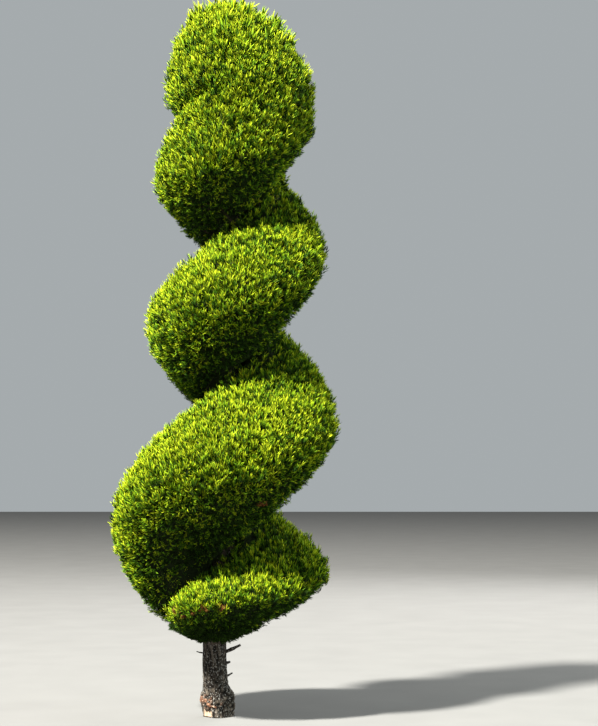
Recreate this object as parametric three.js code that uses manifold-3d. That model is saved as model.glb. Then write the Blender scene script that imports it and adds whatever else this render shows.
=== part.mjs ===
// A spiral topiary rooted in the ground: a golden conifer about 3 m tall, clipped into one rising
// band of foliage that winds round the trunk and ends in a dome. Millimetres, +Z up, origin at the
// flat cut under the trunk, +X to the viewer's right and -Y towards the viewer.
import * as THREE from "three";
import { mergeVertices } from "three/addons/utils/BufferGeometryUtils.js";
import Module from "manifold-3d";

const wasm = await Module();
wasm.setup();

// Driving dimensions
const HEIGHT = 3007; // ground to the clipped top
const LEAN = 0.0323; // sideways run of the trunk for each millimetre it rises
const CURL = { from: 2480, back: 75 }; // the leader bends back towards the foot above this height
const SWAY = { height: 640, reach: 26 }; // the clear stem bows to the left before it leans

const TRUNK = { shaft: 54, tip: 9, tipHeight: 2860, taper: 0.9, flareFrom: 50, flareTo: 150 };
const ROOT_FLARE = { all: 13, right: 3, lobes: 4, lobeDepth: 5 };
const TRUNK_SIDES = 14;
const TRUNK_HEIGHTS = [0, 45, 90, 140, 230, 330, 640, 1000, 1500, 2000, 2480, 2700, 2860];

// The groove between two turns of the band. Its height follows the turn count t, with t = 0 at the
// viewer's left, 0.25 in front, 0.5 at the right and 0.75 behind.
// At the left it is lifted by leftLift, less liftLoss for each turn below.
const GROOVE = { first: 484, rise: 903, riseLoss: 77, leftLift: 60, liftLoss: 15 };
// Where the groove dips below that curve: turn, depth, and the turns to either side over which the
// dip keeps its depth and over which it runs out
const DIPS = [
  { t: 1.02, depth: 26, flat: 0, reach: 0.2 },
  { t: 1.24, depth: 54, flat: 0.08, reach: 0.26 },
  { t: 2.24, depth: 64, flat: 0.08, reach: 0.26 },
];
const CROWN_FOOT = { right: 342, left: 335 }; // underside of the lowest foliage, close to the trunk
const FOOT_BLEND = 0.14; // turns over which the underside becomes the first groove
// Radii from the trunk's axis at each half turn, the first of them at FIRST_TURN
const FIRST_TURN = -1;
const RIDGE_RADII = [290, 440, 465, 452, 352, 383, 343, 315, 310, 310, 310];
const FLOOR_RADII = [112, 112, 116, 128, 106, 205, 100, 205, 260, 302, 260];
// How round the band is below and above its ridge, at the same half turns: a higher number is leaner
const LOWER_LEANNESS = [0.8, 1, 0.76, 1.08, 0.74, 1.2, 0.76, 2, 1.2, 1.2, 1.2];
const UPPER_LEANNESS = [1, 0.95, 1.02, 0.95, 1.18, 0.95, 0.95, 0.9, 0.9, 0.9, 0.9];
const LOBE_POWER = 2.05;
// Height of the groove's bare floor above and below its middle, or this share of the band's height
const NECK = { above: 20, below: 10, share: 0.13 };

// The dome stands on a tilted plane above the last turn.
const DOME = { foot: 2600, slope: 0.4, widest: 2587, radius: 305, fullness: 0.55 };
const DOME_RINGS = [0.12, 0.3, 0.5, 0.7, 0.87, 0.97];
const NOTCH = { depth: 0.15, height: 100 }; // the groove fades out at the dome's left

// The band starts at BAND_START and is cut into masses a third of a turn long.
const BAND_START = -0.92;
const TIP_LENGTH = 0.13; // turns over which the band's lower end rounds off
const STEPS_PER_TURN = 18;
const STEPS_PER_MASS = 6;
const BAND_STEPS = 69;
const BAND_END = BAND_START + BAND_STEPS / STEPS_PER_TURN;
const SPACE_ROOM = 60; // each mass's space reaches this far past its ridge
const OVERRUN = 25; // a core is made this much too tall and trimmed by its space
const CLEAR = 0.4; // each mass keeps this far from the border of its space
const INSET = 36; // the cores lie this far under the clipped surface, measured outwards
const INSET_UP = 0.6; // share of it kept where the surface faces up or down
const BORE_ROOM = 55; // bare space round the trunk, inside the crown
const SECTION_POINTS = 9;
const THIN_SHARE = 0.28; // the core of a thin band lies at most this share of its height deep

const BOUGH = { root: 17, end: 11, sides: 7, clear: 0.3, drop: 95, above: 70 };
const STEM = { gap: 12, length: 70, rise: 0.25, neck: 9.5, tip: 5.5 }; // carries a mass on from its bough
const SPRAY = { spacing: 126, width: 90, sunk: 20, thickness: 9, upward: 0.35, margin: 1 };
const STRAY = { count: 12, reach: 44, width: 22, lowest: 0.45, highest: 0.95 }; // loose shoots of the dome
const OUTER_V = 0.97; // the band's outermost blades stand at this v, and the dome's lowest at DOME_FOOT_V
const DOME_FOOT_V = 0.02;
const FEWEST_ON_DOME = 3; // blades in the dome's smallest ring
// Random shifts of a blade: of its row and of itself, as shares of its column, in v, and in its length
const JITTER = { row: 0.5, column: 0.3, v: 0.04, length: 0.2, edge: 0.03 };
const UNDERSIDE = { from: -0.3, upward: 0.1 }; // blades on faces that look down turn up less
const LEAST_LEAN = 0.7;
const NARROWEST = 0.5; // share of its width that a blade keeps where the core is thin
// Outline of a blade, as shares of its length and of its width
const TOOTH = { left: 0.66, right: 0.74, notch: 0.52, thickest: 0.34 };
const HALF_WIDTH = { left: 0.5, right: 0.45, notch: 0.19 };

// Broken side shoots on the clear stem: height, direction round the trunk in degrees, rise, length, radius
const STUB_SUNK = 0.3; // share of the trunk's radius that a stub starts below the bark
const STUB_TAPER = 0.75;
const STUBS = [
  { name: "stub_long", z: 247, around: 0, rise: 0.42, length: 66, radius: 8 },
  { name: "stub_knob", z: 217, around: -12, rise: 0.1, length: 15, radius: 7 },
  { name: "stub_low", z: 145, around: 4, rise: 0.45, length: 25, radius: 5 },
  { name: "stub_left", z: 254, around: 183, rise: 0.15, length: 25, radius: 3 },
];

const BARK = new THREE.MeshStandardMaterial({ color: 0x4a3d33, roughness: 0.95, metalness: 0 });
const FOLIAGE = new THREE.MeshStandardMaterial({ color: 0x86ac1c, roughness: 0.8, metalness: 0 });

const TURN = 2 * Math.PI;
const UP = new THREE.Vector3(0, 0, 1);

const { clamp, degToRad, lerp, seededRandom, smoothstep } = THREE.MathUtils;

// A smooth curve through values given at each half turn
function halfTurnCurve(values) {
  const curve = new THREE.SplineCurve(values.map((value, i) => new THREE.Vector2(i, value)));
  return (t) => curve.getPoint(clamp(((t - FIRST_TURN) * 2) / (values.length - 1), 0, 1)).y;
}

const ridgeRadius = halfTurnCurve(RIDGE_RADII);
const floorRadius = halfTurnCurve(FLOOR_RADII);
const lowerLeanness = halfTurnCurve(LOWER_LEANNESS);
const upperLeanness = halfTurnCurve(UPPER_LEANNESS);

// The trunk
function axisX(z) {
  const bend = Math.max(0, (z - CURL.from) / (HEIGHT - CURL.from));
  const sway = SWAY.reach * Math.sin((Math.PI * Math.min(z, SWAY.height)) / SWAY.height);
  return LEAN * z - CURL.back * bend * bend - sway;
}

function trunkRadius(z) {
  return lerp(TRUNK.tip, TRUNK.shaft, Math.max(0, 1 - z / TRUNK.tipHeight) ** TRUNK.taper);
}

function trunkSurface(z, angle, grown = 0) {
  const flare = 1 - smoothstep(z, TRUNK.flareFrom, TRUNK.flareTo);
  const lobes = ROOT_FLARE.lobeDepth * Math.cos(ROOT_FLARE.lobes * angle);
  const swell = ROOT_FLARE.all + ROOT_FLARE.right * Math.cos(angle) + lobes;
  const radius = trunkRadius(z) + flare * swell + grown;
  return new THREE.Vector3(axisX(z) + radius * Math.cos(angle), radius * Math.sin(angle), z);
}

// The clipped band
function grooveHeight(t) {
  let drop = (GROOVE.leftLift - GROOVE.liftLoss * t) * (1 - Math.cos(TURN * t));
  for (const dip of DIPS) {
    drop += dip.depth * (1 - smoothstep(Math.abs(t - dip.t), dip.flat, dip.reach));
  }
  return GROOVE.first + GROOVE.rise * t - GROOVE.riseLoss * t * t - drop;
}

function angleOf(t) {
  return Math.PI + TURN * t;
}

// The height at which a line out from the axis meets the plane under the dome
function domePlane(angle, radius) {
  let z = DOME.foot;
  for (let i = 0; i < 4; i++) {
    z = DOME.foot + DOME.slope * (axisX(z) - axisX(DOME.foot) + radius * Math.cos(angle));
  }
  return z;
}

function lowerEdge(t) {
  const foot = lerp(CROWN_FOOT.right, CROWN_FOOT.left, (1 + Math.cos(TURN * t)) / 2);
  return lerp(foot, grooveHeight(t), smoothstep(t, 0, FOOT_BLEND));
}

// Whether the dome, and no other turn of the band, lies above turn t
function underDome(t) {
  return t > BAND_END - 0.999;
}

function upperEdge(t, radius = floorRadius(t + 1)) {
  return underDome(t) ? domePlane(angleOf(t), radius) : lowerEdge(t + 1);
}

// How far the band's rounded lower end lets the ridge stand out, from 0 to 1
function tipShare(t) {
  const short = clamp((BAND_START + TIP_LENGTH - t) / TIP_LENGTH, 0, 0.99);
  return Math.sqrt(1 - short * short);
}

// A point of the band's clipped surface, as radius and height. v runs from -1 at the lower groove
// to 1 at the upper one.
function bandProfile(t, v) {
  const low = lowerEdge(t);
  const high = upperEdge(t);
  const floor = floorRadius(v < 0 ? t : t + 1);
  const ridge = lerp(Math.max(floorRadius(t), floorRadius(t + 1)), ridgeRadius(t), tipShare(t));
  const half = (high - low) / 2;
  const wanted = v < 0 ? NECK.above * smoothstep(t, 0, FOOT_BLEND) : NECK.below;
  const neck = Math.min(wanted, 2 * half * NECK.share);
  const share = Math.min(1, (Math.abs(v) * half) / (half - neck));
  const leanness = v < 0 ? lowerLeanness(t) : upperLeanness(t);
  return [lerp(floor, ridge, (1 - share ** LOBE_POWER) ** leanness), low + half + v * half];
}

// A point of the dome's clipped surface. v runs from 0 at the dome's rim to 1 at its top.
function domeProfile(t, v) {
  const angle = angleOf(t);
  const rim = domePlane(angle, DOME.radius);
  const z = lerp(rim, HEIGHT, v);
  const share = Math.max(0, (z - DOME.widest) / (HEIGHT - DOME.widest));
  const left = ((1 - Math.cos(angle)) / 2) ** 2;
  const notch = 1 - NOTCH.depth * left * (1 - smoothstep(z - rim, 0, NOTCH.height));
  return [DOME.radius * notch * Math.max(0, 1 - share * share) ** DOME.fullness, z];
}

// How deep the core lies at turn t
function insetAt(t) {
  return Math.min(INSET, THIN_SHARE * (upperEdge(t) - lowerEdge(t)));
}

// The core's surface under the point of the clipped surface with the same t and v
function bandCoreProfile(t, v) {
  const [r, z] = bandProfile(t, v);
  return [r - insetAt(t), z - v * insetAt(t) * INSET_UP];
}

function domeCoreProfile(t, v) {
  const [r, z] = domeProfile(t, v);
  return [r * (1 - INSET / DOME.radius), z - v * INSET];
}

function place(t, [radius, z]) {
  const angle = angleOf(t);
  return new THREE.Vector3(axisX(z) + radius * Math.cos(angle), radius * Math.sin(angle), z);
}

// The outward normal of a clipped surface
function normalAt(profile, t, v) {
  const step = 0.004;
  const along = place(t + step, profile(t + step, v)).sub(place(t - step, profile(t - step, v)));
  const across = place(t, profile(t, v + step)).sub(place(t, profile(t, v - step)));
  return along.cross(across).normalize();
}

// A closed geometry as a solid
function solidOf(geometry) {
  geometry.deleteAttribute("normal");
  geometry.deleteAttribute("uv");
  const merged = mergeVertices(geometry);
  const vertProperties = new Float32Array(merged.attributes.position.array);
  const triVerts = new Uint32Array(merged.index.array);
  const solid = new wasm.Manifold(new wasm.Mesh({ numProp: 3, vertProperties, triVerts }));
  if (solid.volume() > 0) return solid;
  return new wasm.Manifold(new wasm.Mesh({ numProp: 3, vertProperties, triVerts: triVerts.reverse() }));
}

function solidFrom(points, triangles) {
  return solidOf(new THREE.BufferGeometry().setFromPoints(points).setIndex(triangles.flat()));
}

function fromAxis(point) {
  return Math.hypot(point.x - axisX(point.z), point.y);
}

// Rings of points joined into a closed solid, with the first and last ring capped. Each face between
// two rings is split from its corner nearest the upright axis, so surfaces that face each other match.
function loft(rings) {
  const sides = rings[0].length;
  const triangles = [];
  for (let i = 0; i + 1 < rings.length; i++) {
    for (let j = 0; j < sides; j++) {
      const k = (j + 1) % sides;
      const [a, b, c, d] = [i * sides + j, (i + 1) * sides + j, (i + 1) * sides + k, i * sides + k];
      if (fromAxis(rings[i][k]) > fromAxis(rings[i][j])) triangles.push([a, b, c], [a, c, d]);
      else triangles.push([a, b, d], [b, c, d]);
    }
  }
  const last = (rings.length - 1) * sides;
  for (let j = 1; j + 1 < sides; j++) {
    triangles.push([0, j, j + 1], [last, last + j + 1, last + j]);
  }
  return solidFrom(rings.flat(), triangles);
}

function meshOf(solid, name, material) {
  const { vertProperties, triVerts } = solid.getMesh();
  const geometry = new THREE.BufferGeometry();
  geometry.setAttribute("position", new THREE.BufferAttribute(vertProperties, 3));
  geometry.setIndex(new THREE.BufferAttribute(triVerts, 1));
  geometry.computeVertexNormals();
  const mesh = new THREE.Mesh(geometry, material);
  mesh.name = name;
  return mesh;
}

function trunkSolid(grown = 0) {
  const rings = TRUNK_HEIGHTS.map((height, i) => {
    const top = i === TRUNK_HEIGHTS.length - 1 ? grown : 0;
    return Array.from({ length: TRUNK_SIDES }, (_, k) => {
      const point = trunkSurface(height, (TURN * k) / TRUNK_SIDES, grown);
      point.z += top;
      return point;
    });
  });
  return loft(rings);
}

// A straight tapering limb between two points
function limbSolid(from, to, fromRadius, toRadius) {
  const along = to.clone().sub(from);
  const limb = new THREE.CylinderGeometry(toRadius, fromRadius, along.length(), BOUGH.sides);
  const turn = new THREE.Quaternion().setFromUnitVectors(new THREE.Vector3(0, 1, 0), along.normalize());
  limb.applyQuaternion(turn);
  const middle = from.clone().add(to).divideScalar(2);
  return solidOf(limb.translate(middle.x, middle.y, middle.z));
}

// Where the bough at turn t leaves the trunk and where it ends
function boughLine(t) {
  const low = lowerEdge(t);
  const top = low + Math.min((upperEdge(t) - low) / 2, BOUGH.above);
  const foot = top - BOUGH.drop;
  const root = place(t, [trunkRadius(foot) - BOUGH.root, foot - BOUGH.root]);
  const end = place(t, [trunkRadius(top) + BORE_ROOM - STEM.gap, top]);
  return { root, end, axis: end.clone().sub(root).normalize() };
}

function boughSolid(t, trunkGrown) {
  const { root, end } = boughLine(t);
  return limbSolid(root, end, BOUGH.root, BOUGH.end).subtract(trunkGrown);
}

// The stem starts as the bough ends, 0.3 mm on, and turns outwards into the core
function stemSolid(t) {
  const { end, axis } = boughLine(t);
  const outward = place(t, [1, 0]).setX(Math.cos(angleOf(t))).setZ(STEM.rise).normalize();
  const bend = end.clone().addScaledVector(axis, BOUGH.end);
  const start = end.clone().addScaledVector(axis, BOUGH.clear);
  const tip = bend.clone().addScaledVector(outward, STEM.length);
  const knee = bend.clone().addScaledVector(outward, -BOUGH.end / 2);
  return limbSolid(start, bend, BOUGH.end, STEM.neck).add(limbSolid(knee, tip, STEM.neck, STEM.tip));
}

// The section of the band's core at turn t, as a ring of points
function coreSection(t) {
  const inset = insetAt(t);
  const low = lowerEdge(t) - OVERRUN;
  const lowCollar = floorRadius(t) - inset;
  const highCollar = floorRadius(t + 1) - inset;
  const high = upperEdge(t, highCollar) + OVERRUN;
  const bore = (z) => Math.min(trunkRadius(z) + BORE_ROOM, lowCollar) - 1;
  const section = [
    [bore(low), low],
    [lowCollar, low],
  ];
  for (let i = 0; i < SECTION_POINTS; i++) {
    const v = -Math.cos((Math.PI * i) / (SECTION_POINTS - 1));
    section.push(bandCoreProfile(t, v));
  }
  section.push([highCollar, high], [bore(high), high]);
  return section;
}

// How far out the border between two turns of the band reaches
function grooveReach(t) {
  return Math.max(ridgeRadius(t), ridgeRadius(t - 1)) + SPACE_ROOM;
}

// The section of the space that a mass keeps to
function spaceSection(t) {
  const bore = (z) => trunkRadius(z) + BORE_ROOM;
  const low = lowerEdge(t);
  const inner = bore(upperEdge(t));
  const outer = underDome(t) ? DOME.radius + SPACE_ROOM : grooveReach(t + 1);
  return [
    [bore(low), low + CLEAR],
    [grooveReach(t), low + CLEAR],
    [outer, upperEdge(t, outer) - CLEAR],
    [inner, upperEdge(t, inner) - CLEAR],
  ];
}

// A solid swept round the trunk between two borders of a mass, nudge short of each
function sweep(section, mass, nudge) {
  const rings = [];
  for (let i = 0; i <= mass.steps; i++) {
    const t = BAND_START + (mass.step + i) / STEPS_PER_TURN;
    const short = i === 0 ? nudge : i === mass.steps ? -nudge : 0;
    const sideways = new THREE.Vector3(-Math.sin(angleOf(t)), Math.cos(angleOf(t)), 0);
    rings.push(section(t).map((p) => place(t, p).addScaledVector(sideways, short)));
  }
  return loft(rings);
}

function domeCore(trunkGrown) {
  const turns = Array.from({ length: STEPS_PER_TURN }, (_, i) => BAND_START + i / STEPS_PER_TURN);
  const rings = DOME_RINGS.map((v) => turns.map((t) => place(t, domeCoreProfile(t, v))));
  const rim = turns.map((t) => {
    const radius = domeProfile(t, 0)[0] - INSET;
    return place(t, [radius, domePlane(angleOf(t), radius) + CLEAR]);
  });
  return loft([rim, ...rings]).subtract(trunkGrown);
}

// A toothed blade that stands for one spray: three teeth, flat below and thickest at the middle
function sprayBlade(root, direction, widthways, length, width) {
  const thickness = direction.clone().cross(widthways).normalize();
  const at = (along, across, out = 0) =>
    root
      .clone()
      .addScaledVector(direction, along)
      .addScaledVector(widthways, across)
      .addScaledVector(thickness, out);
  const points = [
    at(-SPRAY.sunk, 0),
    at(length * TOOTH.left, width * HALF_WIDTH.left),
    at(length * TOOTH.notch, width * HALF_WIDTH.notch),
    at(length, 0),
    at(length * TOOTH.notch, -width * HALF_WIDTH.notch),
    at(length * TOOTH.right, -width * HALF_WIDTH.right),
    at(length * TOOTH.thickest, 0, SPRAY.thickness),
  ];
  const last = 6;
  const triangles = [
    [0, 2, 1],
    [0, 4, 2],
    [0, 5, 4],
    [2, 4, 3],
  ];
  for (let i = 0; i < last; i++) triangles.push([i, (i + 1) % last, last]);
  return { points, triangles };
}

// Whether a point lies in the space of the mass between turns from and to
function inSpace(point, mass) {
  const across = point.x - axisX(point.z);
  const radius = Math.hypot(across, point.y);
  const angle = Math.atan2(point.y, across);
  if (mass.dome) return point.z > domePlane(angle, radius) + SPRAY.margin;
  const middle = (mass.from + mass.to) / 2;
  const turned = (angle - Math.PI) / TURN;
  const t = turned + Math.round(middle - turned);
  const margin = SPRAY.margin / (TURN * radius);
  const open = mass.from === BAND_START ? 0.1 : 0;
  if (t < mass.from + margin - open || t > mass.to - margin) return false;
  if (point.z > upperEdge(Math.max(t, BAND_START), radius) - SPRAY.margin) return false;
  return t < 0 || point.z > lowerEdge(t) + SPRAY.margin;
}

// Rows of v across the section at turn t, evenly spaced along its outline
function evenRows(profile, t, low, high) {
  const outline = new THREE.Path();
  const fine = 60;
  outline.setFromPoints(
    Array.from({ length: fine + 1 }, (_, i) => {
      const [radius, z] = profile(t, lerp(low, high, i / fine));
      return new THREE.Vector2(radius, z);
    }),
  );
  const lengths = outline.getCurveLengths();
  const total = lengths[fine - 1];
  const rows = Math.max(1, Math.round(total / SPRAY.spacing));
  return Array.from({ length: rows }, (_, row) => {
    const i = lengths.findIndex((length) => length >= (total * (row + 0.5)) / rows);
    return lerp(low, high, (i + 0.5) / fine);
  });
}

// Blades over a mass's clipped surface, on a jittered grid
function spraysOf(mass) {
  const profile = mass.dome ? domeProfile : bandProfile;
  const [low, high] = mass.dome ? [DOME_FOOT_V, 1] : [-OUTER_V, OUTER_V];
  const middle = (mass.from + mass.to) / 2;
  const blades = [];
  for (const row of evenRows(profile, middle, low, high)) {
    const around = TURN * profile(middle, row)[0] * (mass.to - mass.from);
    const columns = Math.max(mass.dome ? FEWEST_ON_DOME : 1, Math.round(around / SPRAY.spacing));
    const shift = JITTER.row * (seededRandom() - 0.5);
    for (let column = 0; column < columns; column++) {
      const share = (column + 0.5 + shift + JITTER.column * (seededRandom() - 0.5)) / columns;
      const t = lerp(mass.from, mass.to, clamp(share, JITTER.edge, 1 - JITTER.edge));
      const v = clamp(row + JITTER.v * (seededRandom() - 0.5), low, high);
      const blade = bladeAt(mass, t, v);
      if (blade) blades.push(blade);
    }
  }
  return blades;
}

// One blade from the core to the clipped surface, or null where none fits the mass's space
function bladeAt(mass, t, v, extra = 0, width = SPRAY.width) {
  const profile = mass.dome ? domeProfile : bandProfile;
  const coreProfile = mass.dome ? domeCoreProfile : bandCoreProfile;
  const normal = normalAt(profile, t, v);
  const root = place(t, coreProfile(t, v));
  const direction = place(t, profile(t, v)).sub(root);
  const depth = direction.length();
  const upward = normal.z < UNDERSIDE.from ? UNDERSIDE.upward : SPRAY.upward;
  direction.divideScalar(depth).addScaledVector(UP, upward).normalize();
  const lean = Math.max(LEAST_LEAN, direction.dot(normal));
  const length = (depth * (1 + JITTER.length * seededRandom()) + extra) / lean;
  const across = direction.clone().cross(Math.abs(direction.z) < 0.98 ? UP : normal).cross(direction);
  across.normalize();
  const scaled = width * (mass.dome ? 1 : Math.max(NARROWEST, insetAt(t) / INSET));
  const twist = Math.PI * seededRandom();
  for (const turn of [twist, twist / 2, 0]) {
    const widthways = across.clone().applyAxisAngle(direction, turn);
    const blade = sprayBlade(root, direction, widthways, length, scaled);
    if (blade.points.slice(1, -1).every((point) => inSpace(point, mass))) return blade;
  }
  return null;
}

// Loose shoots that the shears missed
function strayShoots(mass) {
  const shoots = [];
  for (let i = 0; i < STRAY.count; i++) {
    const v = lerp(STRAY.lowest, STRAY.highest, seededRandom());
    const shoot = bladeAt(mass, (i + seededRandom()) / STRAY.count, v, STRAY.reach, STRAY.width);
    if (shoot) shoots.push(shoot);
  }
  return shoots;
}

function fuse(core, blades) {
  const solids = blades.map(({ points, triangles }) => solidFrom(points, triangles));
  return wasm.Manifold.union([core, ...solids]);
}

// The largest piece of a solid, without the loose scrap that trimming left
function whole(solid) {
  return solid.decompose().sort((a, b) => b.volume() - a.volume())[0];
}

function massList() {
  const sides = ["front", "right", "left"];
  const masses = [];
  for (let step = 0; step < BAND_STEPS; step += STEPS_PER_MASS) {
    const steps = Math.min(STEPS_PER_MASS, BAND_STEPS - step);
    const from = BAND_START + step / STEPS_PER_TURN;
    const index = step / STEPS_PER_MASS;
    masses.push({
      name: `tier${Math.floor(index / 3) + 1}_${sides[index % 3]}`,
      from,
      to: from + steps / STEPS_PER_TURN,
      step,
      steps,
    });
  }
  return masses;
}

const tree = new THREE.Group();
const trunkGrown = trunkSolid(BOUGH.clear);
tree.add(meshOf(trunkSolid(), "trunk", BARK));

for (const { name, z, around, rise, length, radius } of STUBS) {
  const angle = degToRad(around);
  const outward = new THREE.Vector3(Math.cos(angle), Math.sin(angle), rise).normalize();
  const sunk = trunkRadius(z) * STUB_SUNK;
  const from = new THREE.Vector3(axisX(z), 0, z).addScaledVector(outward, trunkRadius(z) - sunk);
  const to = from.clone().addScaledVector(outward, sunk + length);
  const stub = limbSolid(from, to, radius, radius * STUB_TAPER).subtract(trunkGrown);
  tree.add(meshOf(stub, name, BARK));
}

massList().forEach((mass, index) => {
  seededRandom(100 + index);
  const middle = (mass.from + mass.to) / 2;
  tree.add(meshOf(boughSolid(middle, trunkGrown), `bough_${mass.name}`, BARK));
  const clipped = fuse(sweep(coreSection, mass, -OVERRUN / 5), spraysOf(mass));
  const kept = clipped.intersect(sweep(spaceSection, mass, CLEAR)).add(stemSolid(middle));
  tree.add(meshOf(whole(kept), mass.name, FOLIAGE));
});

seededRandom(7);
const dome = { name: "top_dome", dome: true, from: 0, to: 1 };
const domeBlades = [...spraysOf(dome), ...strayShoots(dome)];
tree.add(meshOf(fuse(domeCore(trunkGrown), domeBlades), dome.name, FOLIAGE));

export default tree;
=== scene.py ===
import math

import bpy
import numpy as np
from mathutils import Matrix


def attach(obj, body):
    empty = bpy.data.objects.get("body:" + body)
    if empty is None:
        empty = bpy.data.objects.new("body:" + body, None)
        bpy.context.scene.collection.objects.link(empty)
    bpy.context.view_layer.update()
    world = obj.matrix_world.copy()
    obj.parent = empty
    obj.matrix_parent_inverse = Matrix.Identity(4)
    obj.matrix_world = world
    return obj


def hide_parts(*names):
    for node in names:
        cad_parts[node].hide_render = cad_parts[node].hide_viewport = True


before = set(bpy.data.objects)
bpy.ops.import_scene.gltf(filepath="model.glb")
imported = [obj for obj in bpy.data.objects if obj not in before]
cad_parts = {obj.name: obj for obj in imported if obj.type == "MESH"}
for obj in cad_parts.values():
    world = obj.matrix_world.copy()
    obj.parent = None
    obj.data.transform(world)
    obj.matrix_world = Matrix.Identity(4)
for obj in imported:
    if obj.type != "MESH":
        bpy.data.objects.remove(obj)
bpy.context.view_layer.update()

# Sizes in millimetres, as in the part's source. Pieces are turned into metres when they are made.
MM = 0.001
TURN = 2.0 * math.pi
UP = np.array([0.0, 0.0, 1.0])

# The stem, which leans, curls back at its tip and sways at its foot
HEIGHT = 3007.0
LEAN = 0.0323
CURL = {"from": 2480.0, "back": 75.0}
SWAY = {"height": 640.0, "reach": 26.0}
TRUNK = {"shaft": 54.0, "tip": 9.0, "tip_height": 2860.0, "taper": 0.9, "flare": (50.0, 150.0)}
ROOT_FLARE = {"all": 13.0, "right": 3.0, "lobes": 4, "depth": 5.0}

# The groove between the laps of the band, and its dips: turn, depth, and the turns to either side
# over which each keeps its depth and over which it runs out
GROOVE = {"first": 484.0, "rise": 903.0, "rise_loss": 77.0, "left_lift": 60.0, "lift_loss": 15.0}
DIPS = [(1.02, 26.0, 0.0, 0.2), (1.24, 54.0, 0.08, 0.26), (2.24, 64.0, 0.08, 0.26)]
CROWN_FOOT = {"right": 342.0, "left": 335.0}
FOOT_BLEND = 0.14
# Values at each half turn, the first of them at FIRST_TURN
FIRST_TURN = -1.0
RIDGE_RADII = [290, 440, 465, 452, 352, 383, 343, 315, 310, 310, 310]
FLOOR_RADII = [112, 112, 116, 128, 106, 205, 100, 205, 260, 302, 260]
LOWER_LEANNESS = [0.8, 1, 0.76, 1.08, 0.74, 1.2, 0.76, 2, 1.2, 1.2, 1.2]
UPPER_LEANNESS = [1, 0.95, 1.02, 0.95, 1.18, 0.95, 0.95, 0.9, 0.9, 0.9, 0.9]
LOBE_POWER = 2.05
NECK = {"above": 20.0, "below": 10.0, "share": 0.13}
DOME = {"foot": 2600.0, "slope": 0.4, "widest": 2587.0, "radius": 305.0, "fullness": 0.55}
NOTCH = {"depth": 0.15, "height": 100.0}
BAND_START = -0.92
STEPS_PER_TURN = 18
STEPS_PER_MASS = 6
BAND_STEPS = 69
BAND_END = BAND_START + BAND_STEPS / STEPS_PER_TURN
TIP_LENGTH = 0.13
SIDES = ["front", "right", "left"]
DOME_MASS = math.ceil(BAND_STEPS / STEPS_PER_MASS)
# Space between the trunk and the foliage, and the boughs that cross it
BORE_ROOM = 55.0
BOUGH = {"root": 17.0, "end": 11.0, "drop": 95.0, "above": 70.0, "stem_gap": 12.0}
# Side stubs: height, direction in degrees, rise, length and radius, and what they have in common
STUBS = {
    "stub_long": (247.0, 0.0, 0.42, 66.0, 8.0),
    "stub_knob": (217.0, -12.0, 0.1, 15.0, 7.0),
    "stub_low": (145.0, 4.0, 0.45, 25.0, 5.0),
    "stub_left": (254.0, 183.0, 0.15, 25.0, 3.0),
}
STUB = {"sunk": 0.3, "steps": 9, "sides": 14, "taper": 0.72, "thickness": 0.86}

# Bark: rows of its mesh, close together on the clear trunk, and the height of a radian's twist
BARK = {"sides": 192, "close_to": 460.0, "close_step": 3.2, "rows_above": 46, "twist": 1500.0}
# Cracks between long strips, and between small plates on the worn foot: the share, width, length,
# seed and sharpness of each layer of them
STRIPS = [(0.65, 11.0, 80.0, 3, 0.55), (0.4, 5.0, 26.0, 5, 0.7)]
PLATES = [(0.7, 14.0, 16.0, 14, 0.6), (0.35, 6.0, 8.0, 15, 0.7)]
WORN = {"to": (95.0, 200.0), "ragged": 40.0}
CRACK_DEPTH = {"strips": 5.5, "plates": 9.0, "level": 0.55}
# The torn foot, to the front left: a bare patch, a ledge of torn bark above it and chunks on that,
# each with its direction in degrees, and the cosines off it where it is whole and where it ends
BARE = {"facing": (222.0, 0.95, 0.86), "from": (2.0, 8.0), "to": (28.0, 33.0), "depth": 5.0}
LEDGE = {"facing": (238.0, 0.75, 0.5), "height": 48.0, "thick": 6.0, "ragged": 26.0, "out": 4.0}
CHUNKS = {"facing": (205.0, 0.85, 0.55), "from": (40.0, 52.0), "to": (78.0, 100.0), "out": 4.0}
KNEE = {"facing": (-8.0, 0.95, 0.4), "height": 92.0, "reach": 26.0, "out": 8.0}

# Bare limbs under the crown: the one beside the trunk that shows, and a ring of thinner ones
LOW_LIMB = {"z": 326.0, "around": -24.0, "reach": 180.0, "top": 450.0, "radius": 8.5}
LIMB_RING = {"count": 22, "foot": (292.0, 402.0), "reach": (110.0, 205.0), "radius": (3.0, 7.0)}
LIMB_ROOT = 0.6
LIMB_MESH = {"steps": 9, "sides": 10, "bow": 0.04}
# From each bough's tip a few branches go a part of the way to the sprays, and twigs the rest
TWIGS = {"most": 210, "branches": 9, "part": 0.38, "steps": 4, "sides": 3, "bow": 0.06}
TWIG_RADII = {"branch": (7.5, 3.6), "twig": (3.2, 1.3)}

# Foliage: distance between sprays, their length, how deep they lie and how far their tips vary
SURFACE = {"spacing": 12.4, "length": 43.0, "depth": 9.0, "jitter": 8.0}
UNDERGROWTH = {"spacing": 19.0, "length": 46.0, "depth": 30.0, "jitter": 9.0}
TUFT = {"size": 32.0, "swell": 26.0, "lean": 0.8}
# How far sprays turn up, below and above and on the dome, and out, below, and how long they are
GROWTH = {"up": (0.3, 0.8), "up_on_dome": 0.7, "out_below": 0.8, "chance": 0.28}
LENGTHS = {"range": (0.8, 1.18), "at_groove": 0.75, "below": 0.72}
# Parts of the surfaces that carry sprays
BAND_SPAN = (-0.995, 0.995)
DOME_SPAN = (0.0, 0.999)
# Some sprays stand out of the clipped surface, more upright than the rest
PROUD = {"share": 0.3, "out": (6.0, 19.0), "up": 0.55, "least_upness": -0.25}
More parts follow.
